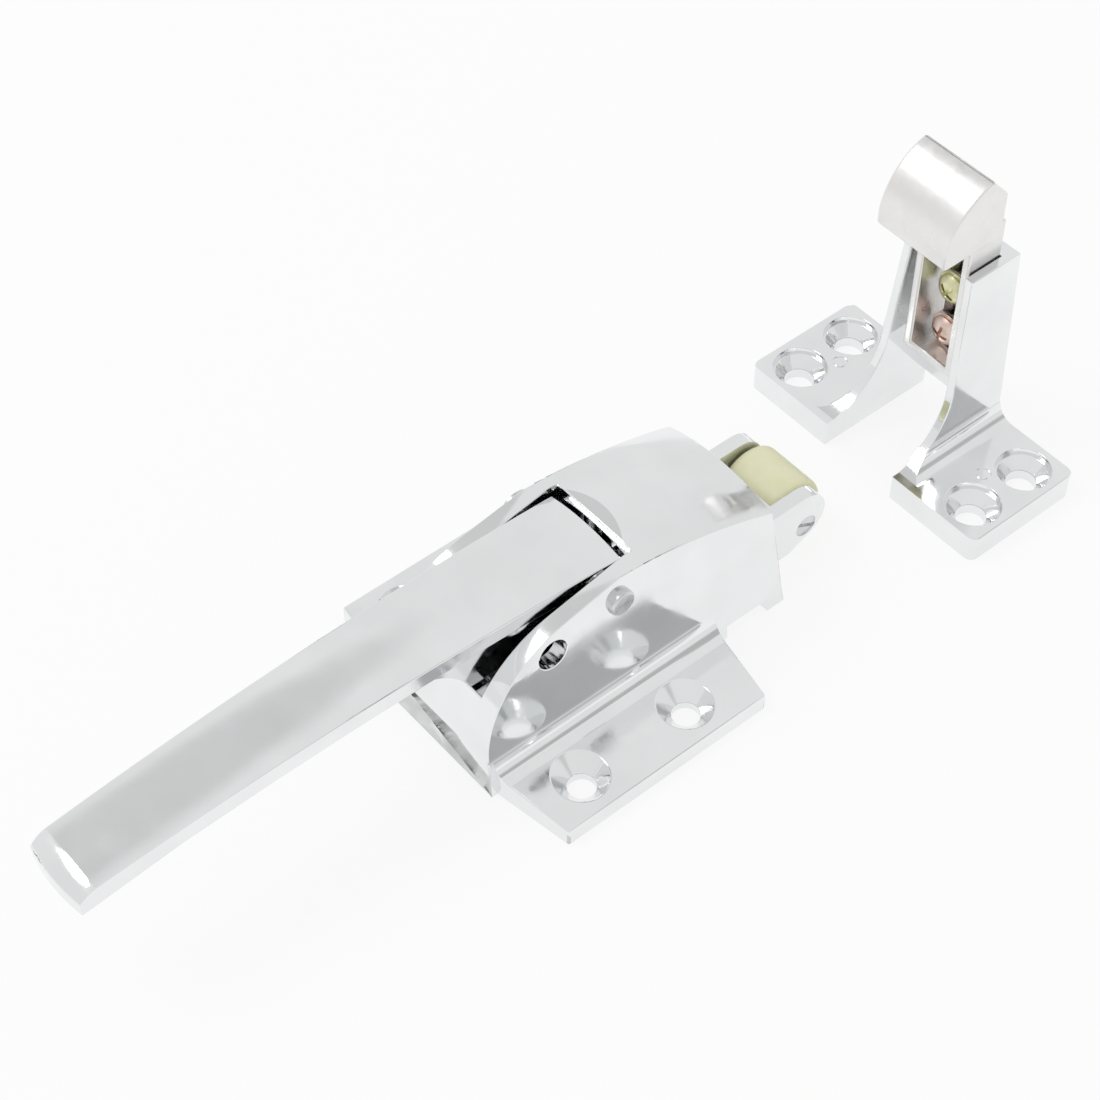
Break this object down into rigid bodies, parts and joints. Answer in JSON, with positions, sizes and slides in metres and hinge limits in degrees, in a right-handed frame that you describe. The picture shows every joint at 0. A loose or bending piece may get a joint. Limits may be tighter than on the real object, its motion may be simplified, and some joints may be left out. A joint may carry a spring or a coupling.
{
  "type": "refrigerator door latch",
  "caption": "Chrome roller latch for a refrigerator or cold-room door: a pull lever draws back a sprung roller bolt, and a separate keeper holds a height-adjustable nose.",
  "frame": {"origin": "middle of the latch's four screw holes, on the mounting plane", "axes": "+Z stands up from the mounting plane, +X runs from the lever's tip towards the roller and keeper, +Y across the latch"},
  "size_m": [0.228, 0.0718, 0.078],
  "materials": {
    "chrome_casting": "bright",
    "satin_casting": "satin",
    "steel": "plated",
    "nylon": "moulded",
    "yellow_zinc": "plated",
    "copper_zinc": "plated"
  },
  "bodies": {
    "mounted_parts": {"housing": "chrome_casting", "guide_plate": "steel", "guide_plate_screws": "steel", "lever_pivot_pin": "steel", "lever_pin_clip": "steel", "bolt_spring": "steel", "keeper_stand": "chrome_casting", "strike_screw_upper": "yellow_zinc", "strike_screw_lower": "copper_zinc", "strike_washer_upper": "yellow_zinc", "strike_washer_lower": "copper_zinc"},
    "lever": {"lever": "chrome_casting", "drive_pin": "steel"},
    "bolt": {"roller_bolt": "chrome_casting", "spring_guide_pin": "steel", "roller_sleeve": "steel", "roller_axle_screw": "steel"},
    "roller": {"roller": "nylon"},
    "strike": {"strike": "satin_casting"}
  },
  "joints": [
    {"name": "lever_pull", "type": "hinge", "parent": "mounted_parts", "child": "lever", "pos_m": [0.0066, 0, 0.0306], "axis": [0, 1, 0], "range_deg": [0, 30]},
    {"name": "bolt_slide", "type": "slide", "parent": "mounted_parts", "child": "bolt", "axis": [1, 0, 0], "range_m": [-0.0112, 0], "stiffness_N_per_m": 1200, "springref_m": 0.008, "deforming": ["bolt_spring"]},
    {"name": "roller_spin", "type": "hinge", "parent": "bolt", "child": "roller", "pos_m": [0.0614, 0, 0.0087], "axis": [0, 1, 0], "continuous": true},
    {"name": "strike_adjust", "type": "slide", "parent": "mounted_parts", "child": "strike", "axis": [0, 0, 1], "range_m": [-0.008, 0]}
  ],
  "couplings": [
    {"joint": "bolt_slide", "follows": "lever_pull", "m_per_rad": -0.021255}
  ]
}
